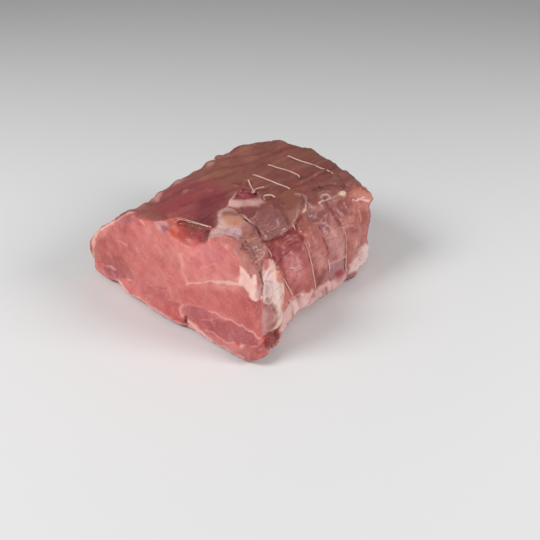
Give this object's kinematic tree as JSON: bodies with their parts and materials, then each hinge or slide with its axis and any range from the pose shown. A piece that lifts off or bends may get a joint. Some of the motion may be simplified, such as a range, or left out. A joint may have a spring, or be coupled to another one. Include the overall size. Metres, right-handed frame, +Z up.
{
  "type": "boneless pork collar roast",
  "caption": "Raw boneless collar joint of pork: a flat-based block of meat drawn into soft ridges by loops of butcher's twine, freshly cut at one end.",
  "frame": {"origin": "middle of the bounding box's base", "axes": "+Z up from the flat base, -Y out of the fresh cut face, +X towards the side on which the loops of twine show from top to bottom"},
  "size_m": [0.154, 0.1522, 0.073],
  "materials": {
    "raw_pork": "moist raw meat with cream fat",
    "twine": "cotton twine, stained by the meat"
  },
  "bodies": {
    "root": {"pork_collar": "raw_pork", "twine_tie_1": "twine", "twine_tie_2": "twine", "twine_tie_3": "twine", "twine_tie_4": "twine", "twine_tie_5": "twine", "twine_tie_6": "twine"}
  },
  "joints": []
}
